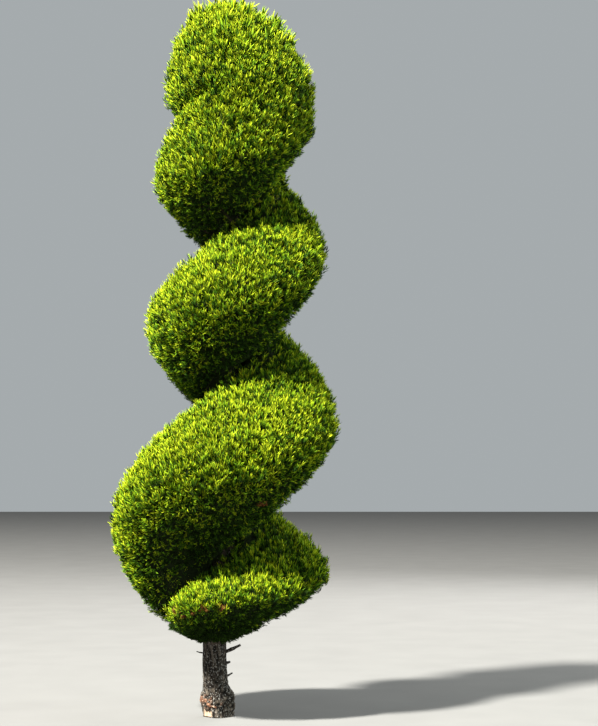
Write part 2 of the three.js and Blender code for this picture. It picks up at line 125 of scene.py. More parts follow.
# The shallow groove under the dome is grown over in front and behind
GROWN_OVER = {"reach": 55.0, "out": 16.0}
# How near the clipped foliage sprays are rooted
ROOT_SLACK = 8.0
FOOT_SPRAYS = 1300
STRAYS = {"dome": 120, "band": 420}
# The dark body behind the sprays, painted shade inside the foliage: how deep it lies, at most as a
# share of the band's height
SHADE = {"depth": 50.0, "share": 0.3}
DOME_SHADE_HEIGHTS = [0.0, 0.1, 0.25, 0.4, 0.55, 0.7, 0.82, 0.92, 0.98]
# One spray, in shares of its length: a leader, and side shoots that start round it, widest part of
# the way along and folded a little on their ridge
LEADER = {"from": 0.22, "half_width": 0.06}
SIDE_SHOOT = {"half_width": 0.055, "widest": 0.42, "fold": 0.6, "angle": 32.0, "spread": 9.0}
UPPER_SHOOTS = [(0.36, 0.55), (0.48, 0.49), (0.61, 0.39)]
LOWER_SHOOTS = [(0.05, 0.58), (0.16, 0.56), (0.27, 0.54)]
NEXT_SHOOT = math.radians(137.5)
# Where a few dead sprays hang in the band: their turns, and their places across it
DEAD_TURNS = [-0.845, -0.815, -0.79, -0.765, -0.735, 0.325, -0.33, -0.05, 0.62, 1.72]
DEAD_PLACES = [-0.10, -0.28, -0.22, -0.12, -0.16, -0.52, -0.3, -0.62, -0.55, -0.5]
DEAD_REACH = 18.0
# Where the sun comes from at two times of day, the first along the key light, and how far off another
# mass still shades a spray. Colours dealt out by them are partly painted light and shade
SUN = np.array([-0.453, -0.437, 0.777])
LATE_SUN = np.array([-0.25, 0.58, 0.775])
SHADE_REACHES = [45.0, 80.0, 125.0, 180.0, 250.0, 330.0, 420.0, 520.0]
SHADE_START = 25.0
# Kinds of foliage from most gold to darkest, and the steps that deal them out: the darker kinds are
# partly the plant's greener growth and partly painted shade, the inner kind painted shade
KINDS = ["gold", "lime", "green", "deep", "inner"]
KIND_STEPS = [-0.57, -0.40, -0.23, -0.02]
# The kind of a spray's lower shoots, by the kind of its upper ones: a darker kind, partly older
# greener growth and partly painted shade low in the foliage
DARKER = {
    "gold": "green",
    "lime": "deep",
    "green": "deep",
    "deep": "inner",
    "inner": "inner",
    "dead": "dead",
}
# Material of each kind: the two colours of its drifts and the colour of its tips. The deep kind is
# partly dark green growth and partly painted shade; the inner kind is painted shade
FOLIAGE = {
    "gold": ("gold_tips", (0.34, 0.48, 0.008), (0.50, 0.62, 0.012), (0.72, 0.80, 0.03)),
    "lime": ("lime_shoots", (0.19, 0.38, 0.006), (0.30, 0.49, 0.010), (0.50, 0.66, 0.02)),
    "green": ("green_shoots", (0.075, 0.21, 0.005), (0.14, 0.31, 0.008), (0.27, 0.46, 0.014)),
    "deep": ("deep_green_and_shade_shoots", (0.018, 0.07, 0.003), (0.04, 0.125, 0.005), (0.09, 0.20, 0.008)),
    "inner": ("painted_shade_shoots", (0.010, 0.028, 0.003), (0.026, 0.06, 0.005), (0.04, 0.09, 0.006)),
    "dead": ("dead_shoots", (0.17, 0.06, 0.018), (0.34, 0.13, 0.035), (0.55, 0.25, 0.08)),
}
# Masses that share a mesh of each kind, by the first and last of them
GROUPS = {"low": (0, 3), "middle": (4, 7), "upper": (8, 11), "dome": (DOME_MASS, DOME_MASS)}

FLOOR_CORNERS = [(-40.0, -40.0, 0.0), (40.0, -40.0, 0.0), (40.0, 40.0, 0.0), (-40.0, 40.0, 0.0)]
SKY = {"colour": (0.9, 0.97, 1.0, 1.0), "strength": 0.42}
# Lights: place, height they are aimed at, size, power and colour
LIGHTS = {
    "key": ((-11.3, -10.9, 20.9), 1.5, 2.4, 38000.0, (1.0, 0.97, 0.88)),
    "fill": ((6.0, -1.0, 3.4), 1.4, 4.0, 320.0, (0.9, 1.0, 0.92)),
    "back": ((3.5, 7.0, 5.5), 1.5, 5.0, 900.0, (1.0, 0.98, 0.94)),
}
CAMERA = {"at": (0.334, -7.0, 0.99), "tilt": 3.88, "lens": 82.85}


# Shape of the plant, by the source's rule


def smooth(value, low, high):
    share = np.clip((value - low) / (high - low), 0.0, 1.0)
    return share * share * (3.0 - 2.0 * share)


def mix(a, b, share):
    return a + (b - a) * share


def half_turn_value(values, t):
    """A smooth curve through values given at each half turn."""
    values = np.asarray(values, float)
    last = len(values) - 1
    at = np.clip((np.asarray(t, float) - FIRST_TURN) * 2.0, 0.0, last)
    i = np.minimum(at.astype(int), last - 1)
    w = at - i
    a = values[np.maximum(i - 1, 0)]
    b = values[i]
    c = values[i + 1]
    d = values[np.minimum(i + 2, last)]
    before = (c - a) / 2.0
    after = (d - b) / 2.0
    cubic = 2.0 * b - 2.0 * c + before + after
    square = 3.0 * c - 3.0 * b - 2.0 * before - after
    return ((cubic * w + square) * w + before) * w + b


def axis_x(z):
    z = np.asarray(z, float)
    bend = np.maximum(0.0, (z - CURL["from"]) / (HEIGHT - CURL["from"]))
    sway = SWAY["reach"] * np.sin(math.pi * np.minimum(z, SWAY["height"]) / SWAY["height"])
    return LEAN * z - CURL["back"] * bend * bend - sway


def trunk_radius(z):
    share = np.maximum(0.0, 1.0 - np.asarray(z, float) / TRUNK["tip_height"]) ** TRUNK["taper"]
    return mix(TRUNK["tip"], TRUNK["shaft"], share)


def angle_of(t):
    return math.pi + TURN * np.asarray(t, float)


def place(t, radius, z):
    angle = angle_of(t)
    x = axis_x(z) + radius * np.cos(angle)
    return np.stack([x, radius * np.sin(angle), z + 0.0 * x], -1)


def groove_height(t):
    drop = (GROOVE["left_lift"] - GROOVE["lift_loss"] * t) * (1.0 - np.cos(TURN * t))
    for turn, depth, flat, reach in DIPS:
        drop = drop + depth * (1.0 - smooth(np.abs(t - turn), flat, reach))
    return GROOVE["first"] + GROOVE["rise"] * t - GROOVE["rise_loss"] * t * t - drop


def lower_edge(t):
    left = (1.0 + np.cos(TURN * t)) / 2.0
    foot = mix(CROWN_FOOT["right"], CROWN_FOOT["left"], left)
    return mix(foot, groove_height(t), smooth(t, 0.0, FOOT_BLEND))


def dome_plane(angle, radius):
    z = DOME["foot"] + 0.0 * np.asarray(radius, float)
    for _ in range(4):
        across = axis_x(z) - axis_x(DOME["foot"]) + radius * np.cos(angle)
        z = DOME["foot"] + DOME["slope"] * across
    return z


def upper_edge(t):
    radius = half_turn_value(FLOOR_RADII, t + 1.0)
    return np.where(t > BAND_END - 0.999, dome_plane(angle_of(t), radius), lower_edge(t + 1.0))


def band_profile(t, v):
    low = lower_edge(t)
    high = upper_edge(t)
    floors = half_turn_value(FLOOR_RADII, t), half_turn_value(FLOOR_RADII, t + 1.0)
    floor = np.where(v < 0.0, floors[0], floors[1])
    short = np.clip((BAND_START + TIP_LENGTH - t) / TIP_LENGTH, 0.0, 0.99)
    tip = np.sqrt(1.0 - short * short)
    ridge = mix(np.maximum(*floors), half_turn_value(RIDGE_RADII, t), tip)
    half = (high - low) / 2.0
    wanted = np.where(v < 0.0, NECK["above"] * smooth(t, 0.0, FOOT_BLEND), NECK["below"])
    neck = np.minimum(wanted, 2.0 * half * NECK["share"])
    share = np.minimum(1.0, np.abs(v) * half / (half - neck))
    lean = half_turn_value(LOWER_LEANNESS, t), half_turn_value(UPPER_LEANNESS, t)
    lobe = (1.0 - share**LOBE_POWER) ** np.where(v < 0.0, lean[0], lean[1])
    return mix(floor, ridge, lobe), low + half + v * half


def dome_profile(t, v):
    angle = angle_of(t)
    rim = dome_plane(angle, DOME["radius"])
    z = mix(rim, HEIGHT, v)
    share = np.clip((z - DOME["widest"]) / (HEIGHT - DOME["widest"]), 0.0, 1.0)
    left = ((1.0 - np.cos(angle)) / 2.0) ** 2
    notch = 1.0 - NOTCH["depth"] * left * (1.0 - smooth(z - rim, 0.0, NOTCH["height"]))
    return DOME["radius"] * notch * (1.0 - share * share) ** DOME["fullness"], z


def unit(vectors):
    return vectors / np.maximum(np.linalg.norm(vectors, axis=-1, keepdims=True), 1e-9)


def normals(profile, t, v):
    step = 0.004
    along = place(t + step, *profile(t + step, v)) - place(t - step, *profile(t - step, v))
    across = place(t, *profile(t, v + step)) - place(t, *profile(t, np.maximum(v - step, -1.0)))
    return unit(np.cross(along, across))


# Noise for relief and colours


def lattice(cell, seed):
    with np.errstate(over="ignore"):
        mixed = cell[..., 0].astype(np.uint32) * np.uint32(374761393)
        mixed = mixed + cell[..., 1].astype(np.uint32) * np.uint32(668265263)
        mixed = mixed + cell[..., 2].astype(np.uint32) * np.uint32(2246822519)
        mixed = mixed + np.uint32(seed * 97531)
        mixed = (mixed ^ (mixed >> np.uint32(13))) * np.uint32(1274126177)
        mixed = mixed ^ (mixed >> np.uint32(16))
    return (mixed & np.uint32(65535)).astype(float) / 65535.0


def noise(points, seed=0):
    """Smooth noise from 0 to 1 with one swell per unit."""
    cell = np.floor(points).astype(np.int64)
    w = points - cell
    w = w * w * (3.0 - 2.0 * w)
    total = np.zeros(points.shape[:-1])
    for dx, dy, dz in np.ndindex(2, 2, 2):
        corner = lattice(cell + np.array([dx, dy, dz]), seed)
        weight = np.abs(1 - dx - w[..., 0]) * np.abs(1 - dy - w[..., 1])
        total += corner * weight * np.abs(1 - dz - w[..., 2])
    return total


# Making pieces


def put(name, data):
    thing = bpy.data.objects.new(name, data)
    bpy.context.scene.collection.objects.link(thing)
    return thing


def mesh_piece(name, points, faces, material, replaced=(), attributes=None, shade_smooth=False):
    """A mesh object from arrays: points in millimetres and faces of equal size."""
    faces = np.asarray(faces, np.int32)
    size = faces.shape[1]
    mesh = bpy.data.meshes.new(name)
    mesh.vertices.add(len(points))
    mesh.vertices.foreach_set("co", (np.asarray(points) * MM).astype(np.float32).ravel())
    mesh.loops.add(faces.size)
    mesh.loops.foreach_set("vertex_index", faces.ravel())
    mesh.polygons.add(len(faces))
    mesh.polygons.foreach_set("loop_start", np.arange(0, faces.size, size, dtype=np.int32))
    mesh.polygons.foreach_set("use_smooth", np.full(len(faces), shade_smooth))
    for key, values in (attributes or {}).items():
        layer = mesh.attributes.new(key, "FLOAT", "POINT")
        layer.data.foreach_set("value", np.asarray(values, np.float32))
    mesh.update(calc_edges=True)
    mesh.validate()
    mesh.materials.append(material)
    piece = put(name, mesh)
    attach(piece, "root")
    if replaced:
        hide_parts(*replaced)


def tube_faces(rings, sides):
    """Triangles of a tube of rings with a point at each end, the ends' points coming last."""
    i = np.arange(rings - 1)[:, None] * sides
    j = np.arange(sides)[None, :]
    k = (j + 1) % sides
    lower = np.stack([i + j, i + k, i + sides + k], -1).reshape(-1, 3)
    upper = np.stack([i + j, i + sides + k, i + sides + j], -1).reshape(-1, 3)
    start = rings * sides
    last = (rings - 1) * sides
    first_cap = np.stack([k[0], j[0], np.full(sides, start)], -1)
    last_cap = np.stack([last + j[0], last + k[0], np.full(sides, start + 1)], -1)
    return np.concatenate([lower, upper, first_cap, last_cap])


def tubes(paths, radii, sides, rough=0.0, seed=0):
    """Tapering limbs along paths of equal length, shape (limbs, points, 3), joined in one mesh."""
    paths = np.asarray(paths, float)
    radii = np.asarray(radii, float)
    count, steps, _ = paths.shape
    along = unit(np.gradient(paths, axis=1))
    aside = np.where(np.abs(along[..., 2:]) > 0.9, np.array([1.0, 0.0, 0.0]), UP)
    first = unit(np.cross(along, aside))
    second = np.cross(along, first)
    angle = TURN * np.arange(sides) / sides
    out = first[:, :, None] * np.cos(angle)[:, None] + second[:, :, None] * np.sin(angle)[:, None]
    rings = paths[:, :, None] + out * radii[:, :, None, None]
    if rough:
        lumps = rough * (noise(rings / 9.0, seed) - 0.5) * radii[:, :, None] / 8.0
        rings += out * lumps[..., None]
    points = np.concatenate([rings.reshape(count, -1, 3), paths[:, :1], paths[:, -1:]], 1)
    faces = tube_faces(steps, sides)
    offsets = (np.arange(count) * points.shape[1])[:, None, None]
    return points.reshape(-1, 3), (faces[None] + offsets).reshape(-1, 3)


# Materials


def new_material(name, roughness, specular):
    """A material, its node tree, its shader, and the coordinates its textures go by."""
    material = bpy.data.materials.new(name)
    material.use_nodes = True
    tree = material.node_tree
    shader = tree.nodes["Principled BSDF"]
    shader.inputs["Roughness"].default_value = roughness
    shader.inputs["Specular IOR Level"].default_value = specular
    return material, tree, shader, tree.nodes.new("ShaderNodeTexCoord").outputs["Object"]


def noise_node(tree, coordinates, scale, detail=3.0, stretch=None):
    node = tree.nodes.new("ShaderNodeTexNoise")
    node.inputs["Scale"].default_value = scale
    node.inputs["Detail"].default_value = detail
    source = coordinates
    if stretch:
        mapping = tree.nodes.new("ShaderNodeMapping")
        mapping.inputs["Scale"].default_value = stretch
        tree.links.new(coordinates, mapping.inputs["Vector"])
        source = mapping.outputs["Vector"]
    tree.links.new(source, node.inputs["Vector"])
    return node.outputs["Fac"]


def held(tree, name):
    node = tree.nodes.new("ShaderNodeAttribute")
    node.attribute_name = name
    return node.outputs["Fac"]


def ramp(tree, factor, stops):
    node = tree.nodes.new("ShaderNodeValToRGB")
    while len(node.color_ramp.elements) < len(stops):
        node.color_ramp.elements.new(0.5)
    for element, (position, colour) in zip(node.color_ramp.elements, stops):
        element.position = position
        element.color = (*colour, 1.0)
    tree.links.new(factor, node.inputs["Fac"])
    return node.outputs["Color"]


def grey_ramp(tree, factor, stops):
    return ramp(tree, factor, [(position, (grey, grey, grey)) for position, grey in stops])


def mix_colours(tree, factor, first, second, mode="MIX"):
    node = tree.nodes.new("ShaderNodeMixRGB")
    node.blend_type = mode
    for value, name in ((factor, "Fac"), (first, "Color1"), (second, "Color2")):
        if isinstance(value, (int, float)):
            node.inputs[name].default_value = value
        elif isinstance(value, tuple):
            node.inputs[name].default_value = (*value, 1.0)
        else:
            tree.links.new(value, node.inputs[name])
    return node.outputs["Color"]


def add_bump(tree, shader, height, strength, distance):
    bump = tree.nodes.new("ShaderNodeBump")
    bump.inputs["Strength"].default_value = strength
    bump.inputs["Distance"].default_value = distance
    tree.links.new(height, bump.inputs["Height"])
    tree.links.new(bump.outputs["Normal"], shader.inputs["Normal"])


def foliage_material(name, dark, light, fresh):
    """Scale leaves in drifts of two colours, fresher at the tips, with painted shade darkening each
    shoot towards its base, and with fine relief.
    """
    material, tree, shader, where = new_material(name, 0.7, 0.08)
    drift = noise_node(tree, where, scale=14.0)
    scales = noise_node(tree, where, scale=420.0, detail=2.0)
    base = ramp(tree, drift, [(0.34, dark), (0.66, light)])
    tip = held(tree, "tip")
    base = mix_colours(tree, grey_ramp(tree, tip, [(0.62, 0.0), (1.0, 0.8)]), base, fresh)
    # Painted shade: each shoot darkens towards its base, deep in the foliage
    painted_base_shade = grey_ramp(tree, tip, [(0.08, 0.08), (0.5, 0.34), (0.86, 1.0)])
    base = mix_colours(tree, 1.0, base, painted_base_shade, "MULTIPLY")
    flecks = grey_ramp(tree, scales, [(0.3, 0.72), (0.62, 1.0)])
    base = mix_colours(tree, 1.0, base, flecks, "MULTIPLY")
    tree.links.new(base, shader.inputs["Base Color"])
    add_bump(tree, shader, scales, strength=0.35, distance=0.0012)
    return material


def bark_material():
    material, tree, shader, where = new_material("weathered_bark", 0.93, 0.18)
    fibres = noise_node(tree, where, scale=1.0, detail=5.0, stretch=(270.0, 270.0, 30.0))
    blotches = noise_node(tree, where, scale=34.0, detail=4.0)
    specks = noise_node(tree, where, scale=150.0)
    # The bark darkens into its cracks: partly the darker bark in its furrows, partly painted shade
    relief = ramp(
        tree,
        held(tree, "relief"),
        [(0.2, (0.005, 0.004, 0.003)), (0.5, (0.035, 0.030, 0.024)), (0.9, (0.165, 0.148, 0.125))],
    )
    weathered = ramp(tree, blotches, [(0.35, (0.62, 0.56, 0.5)), (0.68, (1.25, 1.22, 1.22))])
    bark = mix_colours(tree, 1.0, relief, weathered, "MULTIPLY")
    strands = ramp(tree, fibres, [(0.3, (0.42, 0.4, 0.38)), (0.65, (1.25, 1.22, 1.2))])
    bark = mix_colours(tree, 0.85, bark, strands, "MULTIPLY")
    lichen = grey_ramp(tree, specks, [(0.56, 0.0), (0.66, 0.7)])
    bark = mix_colours(tree, lichen, bark, (0.30, 0.29, 0.27))
    wood = ramp(tree, fibres, [(0.25, (0.23, 0.15, 0.1)), (0.7, (0.52, 0.40, 0.29))])
    bark = mix_colours(tree, held(tree, "bare"), bark, wood)
    torn = ramp(
        tree,
        specks,
        [(0.35, (0.05, 0.018, 0.010)), (0.55, (0.20, 0.095, 0.055)), (0.7, (0.5, 0.36, 0.26))],
    )
    bark = mix_colours(tree, held(tree, "torn"), bark, torn)
    tree.links.new(bark, shader.inputs["Base Color"])
    add_bump(tree, shader, fibres, strength=0.6, distance=0.003)
    return material


def twig_material(name, dark, light):
    material, tree, shader, where = new_material(name, 0.85, 0.18)
    grain = noise_node(tree, where, scale=130.0, detail=4.0)
    tree.links.new(ramp(tree, grain, [(0.3, dark), (0.7, light)]), shader.inputs["Base Color"])
    add_bump(tree, shader, grain, strength=0.5, distance=0.002)
    return material


# Trunk, boughs and twigs


def bark_noise(z, a, width, length, seed):
    """Noise over the bark, with swells of a width and a length, twisted up the trunk."""
    twisted = a + z / BARK["twist"]
    ring = TRUNK["shaft"] / width
    return noise(np.stack([np.cos(twisted) * ring, np.sin(twisted) * ring, z / length], -1), seed)


def cracks(z, a, layers):
    total = 0.0
    for share, width, length, seed, sharpness in layers:
        swells = bark_noise(z, a, width, length, seed)
        total = total + share * (1.0 - np.abs(2.0 * swells - 1.0) ** sharpness)
    return total


def facing(a, degrees, whole, end):
    """1 where the trunk faces a direction, running out to 0 away from it."""
    return smooth(np.cos(a - math.radians(degrees)), end, whole)


def torn_foot(z, a, flakes):
    """Shares of bare wood, of torn ledge and of chunks of bark at each place of the trunk."""
    ragged = LEDGE["ragged"] * (bark_noise(z, a, 11.0, 30.0, 12) - 0.5)
    below = 1.0 - smooth(z + ragged, *BARE["to"])
    bare = facing(a, *BARE["facing"]) * smooth(z, *BARE["from"]) * below
    bare = bare * smooth(bark_noise(z, a, 13.0, 11.0, 18) + 0.25 * bare, 0.3, 0.45)
    ledge = np.exp(-(((z + ragged - LEDGE["height"]) / LEDGE["thick"]) ** 2))
    ledge = ledge * facing(a, *LEDGE["facing"])
    chunks = smooth(flakes, 0.5, 0.62) * facing(a, *CHUNKS["facing"]) * smooth(z, *CHUNKS["from"])
    return bare, ledge, chunks * (1.0 - smooth(z, *CHUNKS["to"]))


def bark_relief(z, a):
    """How far the bark stands out, and the values that its material goes by."""
    flakes = bark_noise(z, a, 7.0, 9.0, 8)
    ragged = WORN["ragged"] * (bark_noise(z, a, 30.0, 60.0, 16) - 0.5)
    worn = 1.0 - smooth(z + ragged, *WORN["to"])
    cracked = mix(cracks(z, a, STRIPS), cracks(z, a, PLATES), worn)
    relief = np.clip(1.0 - cracked + 0.3 * (flakes - 0.5), 0.0, 1.0)
    bare, ledge, chunks = torn_foot(z, a, flakes)
    torn = np.clip(ledge * smooth(flakes, 0.3, 0.6) + 0.8 * chunks, 0.0, 1.0)
    deep = mix(CRACK_DEPTH["strips"], CRACK_DEPTH["plates"], worn)
    out = deep * (relief - CRACK_DEPTH["level"]) * (1.0 - 0.8 * bare)
    out = out - BARE["depth"] * bare + LEDGE["out"] * ledge + CHUNKS["out"] * chunks
    swell = 5.0 * (bark_noise(z, a, 42.0, 150.0, 21) - 0.5)
    fade = mix(0.4, 1.0, smooth(z, 0.0, 6.0)) * np.clip(trunk_radius(z) / 45.0, 0.15, 1.0)
    return (out + swell) * fade, {"relief": relief, "bare": bare, "torn": torn}


def knee_swell(z, a):
    """The swelling low on the trunk's right."""
    knee = KNEE["out"] * np.exp(-(((z - KNEE["height"]) / KNEE["reach"]) ** 2))
    return knee * facing(a, *KNEE["facing"]) * (0.55 + 0.9 * bark_noise(z, a, 15.0, 17.0, 19))


def trunk_piece(material):
    close = np.arange(0.0, BARK["close_to"], BARK["close_step"])
    above = np.linspace(BARK["close_to"], TRUNK["tip_height"], BARK["rows_above"])
    heights = np.concatenate([close, above])
    angle = TURN * np.arange(BARK["sides"]) / BARK["sides"]
    z, a = np.meshgrid(heights, angle, indexing="ij")
    flare = (1.0 - smooth(z, *TRUNK["flare"])) * mix(0.7, 1.0, smooth(z, 8.0, 70.0))
    lobes = ROOT_FLARE["depth"] * np.cos(ROOT_FLARE["lobes"] * a)
    radius = trunk_radius(z) + flare * (ROOT_FLARE["all"] + ROOT_FLARE["right"] * np.cos(a) + lobes)
    out, shares = bark_relief(z, a)
    radius = radius + out + knee_swell(z, a)
    points = np.stack([axis_x(z) + radius * np.cos(a), radius * np.sin(a), z], -1).reshape(-1, 3)
    ends = np.array([[axis_x(0.0), 0.0, 0.0], [axis_x(heights[-1]), 0.0, heights[-1] + 3.0]])
    values = {key: np.append(share.ravel(), [0.0, 0.0]) for key, share in shares.items()}
    values["relief"][-2:] = 0.5
    points = np.concatenate([points, ends])
    faces = tube_faces(len(heights), BARK["sides"])
    mesh_piece("bark_trunk", points, faces, material, ["trunk"], values, shade_smooth=True)


def stub_path(height, around, rise, length, radius):
    """Points along a stub, and the radius at each."""
    angle = math.radians(around)
    outward = unit(np.array([math.cos(angle), math.sin(angle), rise]))
    trunk = float(trunk_radius(height))
    start = np.array([float(axis_x(height)), 0.0, height])
    start = start + outward * trunk * (1.0 - STUB["sunk"])
    share = np.linspace(0.0, 1.0, STUB["steps"])
    bend = np.sin(share * math.pi)[:, None] * np.array([0.0, 1.5, -2.5])
    path = start + outward * (trunk * STUB["sunk"] + length) * share[:, None] + bend
    knuckle = 1.0 + 0.35 * np.exp(-(((share - 0.55) / 0.12) ** 2)) + 0.4 * (1.0 - share) ** 3
    return path, radius * mix(1.0, STUB["taper"], share) * knuckle * STUB["thickness"]


def stub_piece(material):
    paths, radii = zip(*[stub_path(*stub) for stub in STUBS.values()])
    points, faces = tubes(paths, radii, STUB["sides"], rough=3.0, seed=31)
    values = {"relief": 0.25 + 0.35 * noise(points / 6.0, seed=2)}
    values["bare"] = np.zeros(len(points))
    values["torn"] = np.zeros(len(points))
    mesh_piece("side_stubs", points, faces, material, list(STUBS), values, shade_smooth=True)


def bough_ends(t):
    low = lower_edge(t)
    top = low + min((upper_edge(t) - low) / 2.0, BOUGH["above"])
    foot = top - BOUGH["drop"]
    root = place(t, trunk_radius(foot) - BOUGH["root"], foot - BOUGH["root"])
    end = place(t, trunk_radius(top) + BORE_ROOM - BOUGH["stem_gap"], top)
    return root, end


def limbs(starts, ends, sizes, mesh, random, power=1.0):
    """Paths and radii of tapering limbs that bow a little to one side and down."""
    share = np.linspace(0.0, 1.0, mesh["steps"])[None, :]
    starts = np.asarray(starts)[:, None]
    ends = np.asarray(ends)[:, None]
    sizes = np.array(sizes)
    length = np.linalg.norm(ends - starts, axis=-1, keepdims=True)
    side = random.normal(size=(len(starts), 1, 3)) * np.array([1.0, 1.0, 0.5])
    side[..., 2] -= 0.8
    along = share[..., None]
    bow = np.sin(math.pi * along) * mesh["bow"] * length * unit(side)
    paths = starts + (ends - starts) * along + bow
    return paths, sizes[:, :1] + (sizes[:, 1:] - sizes[:, :1]) * share**power


def bough_piece(masses, material, random):
    """The main boughs, and the bare limbs that show under the crown."""
    found = [(*bough_ends(mass["middle"]), (BOUGH["root"], BOUGH["end"])) for mass in masses]
    t = LOW_LIMB["around"] / 360.0 - 0.5
    root = place(t, trunk_radius(LOW_LIMB["z"]) * LIMB_ROOT, LOW_LIMB["z"])
    end = place(t, LOW_LIMB["reach"], LOW_LIMB["top"])
    found.append((root, end, (LOW_LIMB["radius"], LOW_LIMB["radius"] * 0.6)))
    for i in range(LIMB_RING["count"]):
        t = (i + random.random()) / LIMB_RING["count"]
        foot = random.uniform(*LIMB_RING["foot"])
        reach = random.uniform(*LIMB_RING["reach"])
        root = place(t, trunk_radius(foot) * LIMB_ROOT, foot)
        end = place(t + 0.03 * random.normal(), reach, foot + 0.55 * reach + 20.0)
        thick = random.uniform(*LIMB_RING["radius"])
        found.append((root, end, (thick, thick * 0.45)))
    paths, radii = limbs(*zip(*found), LIMB_MESH, random, 0.8)
    points, faces = tubes(paths, radii * 0.95, LIMB_MESH["sides"], rough=2.4, seed=17)
    names = [f"bough_{mass['name']}" for mass in masses]
    mesh_piece("boughs", points, faces, material, names, shade_smooth=True)


def twig_piece(masses, sprays, material, random):
    """Branches from each bough's tip through its mass, and twigs from them to the sprays."""
    starts = []
    ends = []
    sizes = []
    for mass in masses:
        _, tip = bough_ends(mass["middle"])
        roots = sprays["root"][sprays["mass"] == mass["index"]]
        picked = roots[random.permutation(len(roots))[: TWIGS["most"]]]
        hubs = picked[: TWIGS["branches"]]
        hubs = hubs + (tip - hubs) * TWIGS["part"]
        starts.extend(np.repeat(tip[None], len(hubs), 0))
        ends.extend(hubs)
        sizes.extend([TWIG_RADII["branch"]] * len(hubs))
        nearest = np.argmin(np.linalg.norm(picked[:, None] - hubs[None], axis=-1), axis=1)
        starts.extend(hubs[nearest])
        ends.extend(picked)
        sizes.extend([TWIG_RADII["twig"]] * len(picked))
    paths, radii = limbs(starts, ends, sizes, TWIGS, random)
    hidden = inside(paths.reshape(-1, 3)).reshape(paths.shape[:2]).all(1)
    points, faces = tubes(paths[hidden], radii[hidden], TWIGS["sides"])
    mesh_piece("twigs", points, faces, material, shade_smooth=True)


# Foliage


def mass_list():
    masses = []
    for index in range(DOME_MASS):
        step = index * STEPS_PER_MASS
        steps = min(STEPS_PER_MASS, BAND_STEPS - step)
        start = BAND_START + step / STEPS_PER_TURN
        middle = start + steps / STEPS_PER_TURN / 2.0
        name = f"tier{index // 3 + 1}_{SIDES[index % 3]}"
        masses.append({"name": name, "index": index, "middle": middle, "step": step, "steps": steps})
    return masses


def grown_over(sprays):
    """How far sprays stand out to close the groove under the dome."""
    rim = dome_plane(angle_of(sprays["t"]), DOME["radius"])
    near = np.exp(-(((sprays["point"][:, 2] - rim) / GROWN_OVER["reach"]) ** 2))
    rightness = -np.cos(TURN * sprays["t"])
    kept = smooth(rightness, -0.995, -0.85) * (1.0 - 0.9 * smooth(rightness, 0.3, 0.95))
    return GROWN_OVER["out"] * near * kept


def spread(profile, start, span, spacing, random):
    """Turns and heights of points spaced evenly over one step of a clipped surface, with jitter."""
    end = start + 1.0 / STEPS_PER_TURN
    fine = np.linspace(*span, 90)
    middle = (start + end) / 2.0
    radius, z = profile(np.full(len(fine), middle), fine)
    length = np.concatenate([[0.0], np.cumsum(np.hypot(np.diff(radius), np.diff(z)))])
    rows = max(1, round(length[-1] / spacing))
    turns = []
    heights = []
    for row in range(rows):
        at = length[-1] * (row + 0.5) / rows
        around = TURN * np.interp(at, length, radius) * (end - start)
        columns = int(around / spacing + random.random())
        if columns < 1:
            continue
        share = (np.arange(columns) + random.random(columns)) / columns
        turns.append(start + share * (end - start))
        jitter = (random.random(columns) - 0.5) * length[-1] / rows
        heights.append(np.interp(at + jitter, length, fine))
    return np.concatenate(turns), np.concatenate(heights)


def on_surface(profile, t, v, mass):
    """Points of sprays at turns t and heights v of a clipped surface, with their normals."""
    return {
        "point": place(t, *profile(t, v)),
        "normal": normals(profile, t, v),
        "t": t,
        "v": v,
        "mass": np.full(len(t), mass),
        "dome": np.full(len(t), mass == DOME_MASS),
    }


def joined(groups):
    return {key: np.concatenate([group[key] for group in groups]) for key in groups[0]}


def sprays_over(masses, spacing, random):
    """Sprays over the whole clipped surface."""
    found = []
    for mass in masses:
        for step in range(mass["step"], mass["step"] + mass["steps"]):
            start = BAND_START + step / STEPS_PER_TURN
            t, v = spread(band_profile, start, BAND_SPAN, spacing, random)
            found.append(on_surface(band_profile, t, v, mass["index"]))
    for step in range(STEPS_PER_TURN):
        t, v = spread(dome_profile, step / STEPS_PER_TURN, DOME_SPAN, spacing, random)
        found.append(on_surface(dome_profile, t, v, DOME_MASS))
    return joined(found)


def end_face_sprays(random):
    """The lower end of the band, which faces back along it."""
    count = 90
    t = np.full(count, BAND_START)
    v = random.uniform(-0.85, 0.85, count)
    outer, z = band_profile(t, v)
    radius = mix(trunk_radius(400.0) + BORE_ROOM, outer, random.random(count))
    angle = angle_of(t)
    back = np.stack([np.sin(angle), -np.cos(angle), np.zeros(count)], -1)
    sprays = on_surface(band_profile, t, v, 0)
    sprays["point"] = place(t, radius, z) + back * 22.0
    sprays["normal"] = back
    return sprays


def apex_sprays(random):
    """More sprays round the dome's highest point, which the rows over it leave thin."""
    count = 40
    t = random.random(count)
    sprays = on_surface(dome_profile, t, random.uniform(0.93, 0.998, count), DOME_MASS)
    sprays["normal"] = unit(sprays["normal"] + random.normal(size=(count, 3)) * 0.5)
    return sprays


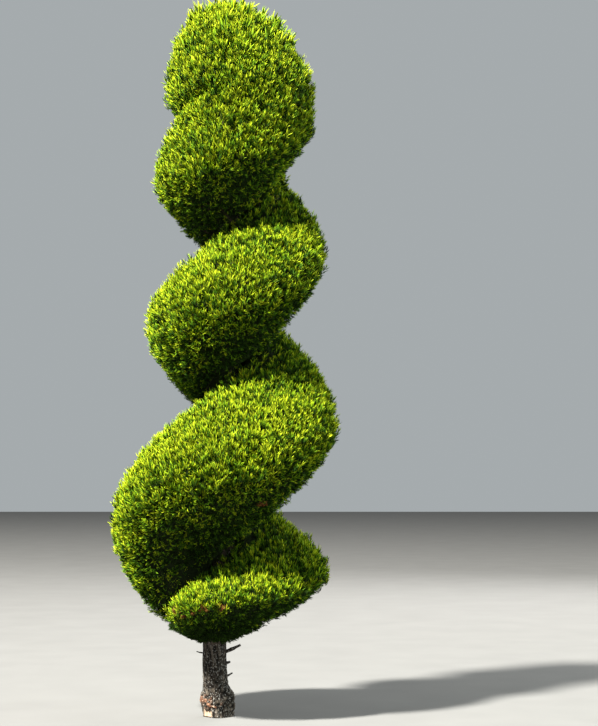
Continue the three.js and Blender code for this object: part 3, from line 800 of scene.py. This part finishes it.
def grow(sprays, layer, random):
    """Adds to each spray its direction, size and root. Near sprays lean the same way, in tufts."""
    count = len(sprays["point"])
    upness = sprays["normal"][:, 2]
    proud = (random.random(count) < PROUD["share"]) & (upness > PROUD["least_upness"])
    bias = mix(*GROWTH["up"], smooth(upness, -0.7, 0.0)) + GROWTH["up_on_dome"] * sprays["dome"]
    bias = bias + PROUD["up"] * proud
    angle = angle_of(sprays["t"])
    outward = np.stack([np.cos(angle), np.sin(angle), 0.0 * angle], -1)
    outward = outward * (GROWTH["out_below"] * smooth(-upness, 0.3, 0.9))[:, None]
    cell = sprays["point"] / TUFT["size"]
    lean = np.stack([noise(cell, seed=50 + k) - 0.5 for k in range(3)], -1) * TUFT["lean"]
    chance = random.normal(size=(count, 3)) * GROWTH["chance"]
    direction = unit(sprays["normal"] + UP * bias[:, None] + outward + lean + chance)
    off_groove = np.where(sprays["dome"], 1.0, smooth(1.0 - np.abs(sprays["v"]), 0.0, 0.12))
    size = layer["length"] * random.uniform(*LENGTHS["range"], count)
    size = size * mix(LENGTHS["at_groove"], 1.0, off_groove)
    size = size * mix(LENGTHS["below"], 1.0, smooth(upness, -0.75, -0.2))
    swell = TUFT["swell"] * (noise(cell * 1.3, seed=60) - 0.5)
    out = random.uniform(-1.0, 1.0, count) * layer["jitter"] - layer["depth"] + swell
    out = out + proud * random.uniform(*PROUD["out"], count) + grown_over(sprays)
    tip = sprays["point"] + sprays["normal"] * out[:, None]
    sprays["direction"] = direction
    sprays["size"] = size
    sprays["root"] = tip - direction * size[:, None]
    return sprays


def rooted(sprays):
    """The sprays that grow out of the clipped foliage, without those that would hang beside it."""
    held_fast = sprays["dome"] | inside(sprays["root"] - sprays["normal"] * ROOT_SLACK)
    return {key: values[held_fast] for key, values in sprays.items()}


def leader_points(sprays, side, other, slim):
    size = sprays["size"][:, None]
    start = sprays["root"] + size * sprays["direction"] * LEADER["from"]
    corners = []
    for angle in TURN * np.arange(3) / 3.0:
        outward = side * math.cos(angle) + other * math.sin(angle)
        corners.append(start + size * outward * LEADER["half_width"] * slim)
    return corners + [sprays["root"] + size * sprays["direction"]]


def side_points(sprays, side, other, shoot, turned, random):
    """A side shoot of every spray: where it starts, its two widest points and its tip."""
    start, length = shoot
    count = len(turned)
    size = sprays["size"][:, None]
    turned = (turned + 0.4 * random.normal(size=count))[:, None]
    tilt = np.radians(random.normal(SIDE_SHOOT["angle"], SIDE_SHOOT["spread"], count))[:, None]
    length = size * length * random.uniform(0.8, 1.2, count)[:, None]
    outward = side * np.cos(turned) + other * np.sin(turned)
    along = sprays["direction"] * np.cos(tilt) + outward * np.sin(tilt)
    across = np.cross(sprays["direction"], outward)
    ridge = sprays["direction"] * np.sin(tilt) - outward * np.cos(tilt)
    base = sprays["root"] + size * sprays["direction"] * start
    middle = base + length * along * SIDE_SHOOT["widest"]
    wide = size * SIDE_SHOOT["half_width"]
    middle = middle - ridge * wide * SIDE_SHOOT["fold"]
    tip = base + length * along + UP * length * 0.12
    return [base, middle + across * wide, middle - across * wide, tip]


def spray_points(sprays, random, slim=1.0):
    """Points of each spray's upper part and its lower shoots, of shape (sprays, points, 3)."""
    count = len(sprays["root"])
    side = unit(np.cross(sprays["direction"], unit(random.normal(size=(count, 3)))))
    other = np.cross(sprays["direction"], side)
    turned = TURN * random.random(count)
    points = leader_points(sprays, side, other, slim)
    for i, shoot in enumerate(UPPER_SHOOTS + LOWER_SHOOTS):
        points += side_points(sprays, side, other, shoot, turned + i * NEXT_SHOOT, random)
    points = np.stack(points, 1)
    uppers = len(UPPER_PART["tips"])
    return points[:, :uppers], points[:, uppers:]


def shoot_faces(first, shoots):
    faces = []
    for i in range(shoots):
        base = first + 4 * i
        faces.append((base, base + 2, base + 3))
        faces.append((base, base + 3, base + 1))
    return faces


def tip_values(shoots):
    """How near each point of the side shoots is to a tip, from 0 to 1."""
    values = []
    for start, _ in shoots:
        values += [0.05 + 0.45 * start, 0.5 + 0.35 * start, 0.5 + 0.35 * start, 0.84 + 0.22 * start]
    return values


UPPER_PART = {
    "faces": np.array([(0, 1, 3), (1, 2, 3), (2, 0, 3)] + shoot_faces(4, len(UPPER_SHOOTS))),
    "tips": np.array([0.4, 0.4, 0.4, 1.0] + tip_values(UPPER_SHOOTS)),
}
LOWER_PART = {
    "faces": np.array(shoot_faces(0, len(LOWER_SHOOTS))),
    "tips": np.array(tip_values(LOWER_SHOOTS)),
}


def inside(points):
    """Whether points lie inside the clipped foliage."""
    z = points[:, 2]
    across = points[:, 0] - axis_x(z)
    radius = np.hypot(across, points[:, 1])
    turn = (np.arctan2(points[:, 1], across) / TURN - 0.5) % 1.0 - 1.0
    foot = DOME["foot"]
    dome_radius, _ = dome_profile(turn, np.clip((z - foot) / (HEIGHT - foot), 0.0, 1.0))
    found = (z > foot) & (z < HEIGHT) & (radius < dome_radius)
    for lap in range(4):
        t = np.clip(turn + lap, BAND_START, BAND_END)
        low = lower_edge(t)
        high = upper_edge(t)
        v = np.clip(2.0 * (z - low) / (high - low) - 1.0, -1.0, 1.0)
        within = (z > low) & (z < high) & (t == turn + lap)
        found |= within & (radius < band_profile(t, v)[0])
    return found


def reached_by(direction, sprays):
    """Whether light from a direction reaches each spray past the other masses."""
    start = sprays["point"] + sprays["normal"] * SHADE_START
    blocked = np.zeros(len(start), bool)
    for reach in SHADE_REACHES:
        blocked |= inside(start + direction * reach)
    return ~blocked


def gold_and_painted_light(sprays, random):
    """How gold each spray is, from about 0 to 1: most where the sun and sky reach it, least on
    undersides. This is partly the plant's own gold where it gets sun and partly painted light and
    shade, since the first sun lies along the key light and the darkest kinds go where it does not
    reach.
    """
    sun = np.zeros(len(sprays["t"]))
    for side in (SUN, LATE_SUN):
        faced = np.clip(sprays["normal"] @ side, 0.0, 1.0)
        sun = np.maximum(sun, reached_by(side, sprays) * (0.4 + 0.6 * faced))
    sky = reached_by(UP, sprays) * np.clip(sprays["normal"][:, 2] + 0.3, 0.0, 1.0)
    below = smooth(-sprays["normal"][:, 2], 0.4, 1.0)
    drift = noise(sprays["point"] / 90.0, seed=4) - 0.5
    patch = noise(sprays["point"] / 26.0, seed=6) - 0.5
    chance = random.normal(size=len(sun)) * 0.26
    return 0.28 + 0.34 * sun + 0.18 * sky - 0.34 * below + 0.22 * drift + 0.38 * patch + chance


def deal_out(pieces, label, points, part, kinds, groups):
    """Adds the shoots of each spray to the piece of its kind and group of masses."""
    for group, members in groups.items():
        for kind in np.unique(kinds):
            chosen = points[(kinds == kind) & members]
            if len(chosen):
                pieces.setdefault((label, kind, group), []).append((chosen, part))


def join_pieces(pieces, materials, replaced):
    """Makes one mesh of all shoots of one kind and group."""
    for (label, kind, group), dealt in pieces.items():
        points = []
        faces = []
        tips = []
        first = 0
        for chosen, part in dealt:
            corner = first + np.arange(len(chosen))[:, None, None] * len(part["tips"])
            faces.append((corner + part["faces"][None]).reshape(-1, 3))
            points.append(chosen.reshape(-1, 3))
            tips.append(np.tile(np.clip(part["tips"], 0.0, 1.0), len(chosen)))
            first += len(points[-1])
        values = {"tip": np.concatenate(tips)}
        nodes = replaced.get(group, ())
        name = f"{label}_{kind}_{group}"
        points = np.concatenate(points)
        mesh_piece(name, points, np.concatenate(faces), materials[kind], nodes, values)


def shade_piece(name, rings, material, replaced):
    """The dark inner foliage behind the sprays, painted as shade, as one closed body swept through
    rings of points.
    """
    rings = np.asarray(rings)
    count, sides, _ = rings.shape
    centres = np.stack([rings[0].mean(0), rings[-1].mean(0)])
    points = np.concatenate([rings.reshape(-1, 3), centres])
    rough = (noise(points / 24.0, seed=40) - 0.5) * 9.0
    points[:, :2] *= (1.0 + rough / 400.0)[:, None]
    mesh_piece(name, points, tube_faces(count, sides)[:, ::-1], material, replaced)


def band_shade(material, nodes):
    v = -np.cos(np.linspace(0.0, math.pi, 15))
    end_room = 0.004
    rings = []
    for i in range(BAND_STEPS * 2 + 1):
        t = BAND_START + i / STEPS_PER_TURN / 2.0
        t = min(max(t, BAND_START + end_room), BAND_END - end_room)
        radius, z = band_profile(np.full(len(v), t), v)
        low = float(lower_edge(t))
        high = float(upper_edge(t))
        inner = float(trunk_radius(low)) + 36.0
        inset = min(SHADE["depth"], SHADE["share"] * (high - low))
        radius = np.maximum(radius - inset, inner + 4.0)
        z = z - v * inset * 0.62
        section_r = np.concatenate([[inner], radius, [inner]])
        section_z = np.concatenate([[z[0]], z, [z[-1]]])
        rings.append(place(np.full(len(section_r), t), section_r, section_z))
    shade_piece("inner_shade_band", rings, material, nodes)


def dome_shade(material):
    t = np.linspace(0.0, 1.0, 48, endpoint=False)
    shrink = 1.0 - SHADE["depth"] / DOME["radius"]
    rings = []
    for v in DOME_SHADE_HEIGHTS:
        radius, z = dome_profile(t, np.full(len(t), v))
        rings.append(place(t, radius * shrink, z - v * SHADE["depth"] + (1.0 - v) * 6.0))
    shade_piece("inner_shade_dome", rings, material, ["top_dome"])


def foot_sprays(random):
    """Shaded sprays that close the crown's underside in towards the trunk, thinner at the right."""
    t = random.random(FOOT_SPRAYS)
    share = random.random(FOOT_SPRAYS)
    radius = mix(62.0, 190.0, share)
    thinned = smooth(-np.cos(TURN * t), 0.2, 1.0) * (1.0 - share)
    kept = random.random(FOOT_SPRAYS) < mix(1.0, 0.35, thinned)
    t = t[kept]
    radius = radius[kept]
    height = 310.0 + (radius - 55.0) * 0.44 + random.uniform(-8.0, 16.0, len(t))
    angle = angle_of(t)
    outward = np.stack([np.cos(angle), np.sin(angle), np.full(len(t), -0.35)], -1)
    direction = unit(outward + random.normal(size=outward.shape) * 0.4)
    size = random.uniform(26.0, 42.0, len(t))
    root = place(t, radius, height) - direction * size[:, None] * 0.6
    return {"root": root, "direction": direction, "size": size}


def stray_sprays(surface, random):
    """Longer shoots that the shears missed: most round the dome's top, a few all over the band."""
    t = random.random(STRAYS["dome"])
    v = random.uniform(0.3, 0.96, STRAYS["dome"])
    dome = on_surface(dome_profile, t, v, DOME_MASS)
    looks_up = np.flatnonzero((surface["normal"][:, 2] > -0.15) & ~surface["dome"])
    picked = random.permutation(looks_up)[: STRAYS["band"]]
    sprays = joined([dome, {key: surface[key][picked] for key in dome}])
    count = len(sprays["t"])
    turned = random.normal(size=(count, 3)) * 0.16
    sprays["direction"] = unit(sprays["normal"] * 0.75 + UP * 0.8 + turned)
    longest = random.uniform(60.0, 104.0, count)
    sprays["size"] = np.where(sprays["dome"], longest, random.uniform(46.0, 66.0, count))
    sprays["root"] = sprays["point"] - sprays["direction"] * (sprays["size"] * 0.56)[:, None]
    return sprays


def dead_mask(sprays):
    """Sprays near one of the dead spots."""
    t = np.array(DEAD_TURNS)
    spots = place(t, *band_profile(t, np.array(DEAD_PLACES)))
    reach = DEAD_REACH * (0.6 + 0.9 * noise(sprays["point"] / 14.0, seed=70))
    away = np.linalg.norm(sprays["point"][:, None] - spots, axis=-1)
    return away.min(1) < reach


def deal_sprays(pieces, label, sprays, kinds, groups, random, slim=1.0):
    """Deals out sprays by kind and group, the hidden undergrowth without its lower shoots."""
    upper, lower = spray_points(sprays, random, slim)
    deal_out(pieces, label, upper, UPPER_PART, kinds, groups)
    if label != "undergrowth":
        darker = np.array([DARKER[kind] for kind in kinds])
        deal_out(pieces, label, lower, LOWER_PART, darker, groups)


def deal_layer(pieces, label, sprays, share, two_kinds, random, slim=1.0):
    """Sprays of two kinds, the first for a share of them, in one group."""
    kinds = np.where(random.random(len(sprays["size"])) < share, *two_kinds)
    deal_sprays(pieces, label, sprays, kinds, {"all": np.ones(len(kinds), bool)}, random, slim)


def build_foliage(masses, twig_bark, random):
    materials = {kind: foliage_material(*look) for kind, look in FOLIAGE.items()}
    pieces = {}
    surface = sprays_over(masses, SURFACE["spacing"], random)
    surface = joined([surface, end_face_sprays(random), apex_sprays(random)])
    surface = rooted(grow(surface, SURFACE, random))
    twig_piece(masses, surface, twig_bark, random)
    # Each spray's kind by how gold it is: partly the plant's own colour, partly painted light and
    # shade
    kinds = np.array(KINDS)[np.digitize(-gold_and_painted_light(surface, random), KIND_STEPS)]
    kinds[dead_mask(surface)] = "dead"
    names = [mass["name"] for mass in masses] + ["top_dome"]
    groups = {}
    replaced = {}
    for group, (first, last) in GROUPS.items():
        groups[group] = (surface["mass"] >= first) & (surface["mass"] <= last)
        replaced[group] = names[first : last + 1]
    deal_sprays(pieces, "sprays", surface, kinds, groups, random)
    under = grow(sprays_over(masses, UNDERGROWTH["spacing"], random), UNDERGROWTH, random)
    # The hidden undergrowth and the sprays under the crown take the two darkest kinds, painted shade
    deal_layer(pieces, "undergrowth", under, 0.2, ("deep", "inner"), random)
    deal_layer(pieces, "foot", foot_sprays(random), 0.15, ("deep", "inner"), random)
    strays = stray_sprays(surface, random)
    deal_layer(pieces, "stray", strays, 0.5, ("gold", "lime"), random, slim=0.7)
    join_pieces(pieces, materials, replaced)


def build_plant():
    random = np.random.default_rng(20)
    bark = bark_material()
    trunk_piece(bark)
    stub_piece(bark)
    masses = mass_list()
    limb_bark = twig_material("shaded_limbs", (0.018, 0.013, 0.01), (0.085, 0.066, 0.052))
    bough_piece(masses, limb_bark, random)
    twig_bark = twig_material("twig_bark", (0.012, 0.009, 0.006), (0.045, 0.032, 0.021))
    build_foliage(masses, twig_bark, random)
    # A near-black material for the body inside the foliage: painted shade
    shade = twig_material("inner_shade", (0.004, 0.008, 0.002), (0.014, 0.024, 0.005))
    band_shade(shade, [mass["name"] for mass in masses])
    dome_shade(shade)


# Studio


def floor_piece():
    mesh = bpy.data.meshes.new("floor")
    mesh.from_pydata(FLOOR_CORNERS, [], [(0, 1, 2, 3)])
    material, tree, shader, where = new_material("pale_floor", 1.0, 0.0)
    speckle = noise_node(tree, where, scale=3.0)
    colour = grey_ramp(tree, speckle, [(0.3, 0.143), (0.7, 0.153)])
    tree.links.new(colour, shader.inputs["Base Color"])
    mesh.materials.append(material)
    put("floor", mesh)


def area_light(name, at, aim, size, power, colour):
    data = bpy.data.lights.new(name, "AREA")
    data.shape = "DISK"
    data.size = size
    data.energy = power
    data.color = colour
    light = put(name, data)
    light.location = at
    x, y, z = at
    light.rotation_euler = (math.atan2(math.hypot(x, y), z - aim), 0.0, math.atan2(x, -y))


def studio():
    scene = bpy.context.scene
    scene.view_settings.view_transform = "Standard"
    world = bpy.data.worlds.new("studio")
    scene.world = world
    world.use_nodes = True
    background = world.node_tree.nodes["Background"]
    background.inputs["Color"].default_value = SKY["colour"]
    background.inputs["Strength"].default_value = SKY["strength"]
    for name, lamp in LIGHTS.items():
        area_light(name, *lamp)


def camera():
    data = bpy.data.cameras.new("camera")
    data.sensor_fit = "AUTO"
    data.sensor_width = 36.0
    data.lens = CAMERA["lens"]
    data.clip_end = 200.0
    holder = put("camera", data)
    holder.location = CAMERA["at"]
    holder.rotation_euler = (math.radians(90.0 + CAMERA["tilt"]), 0.0, 0.0)
    bpy.context.scene.camera = holder


camera()
studio()
floor_piece()
build_plant()
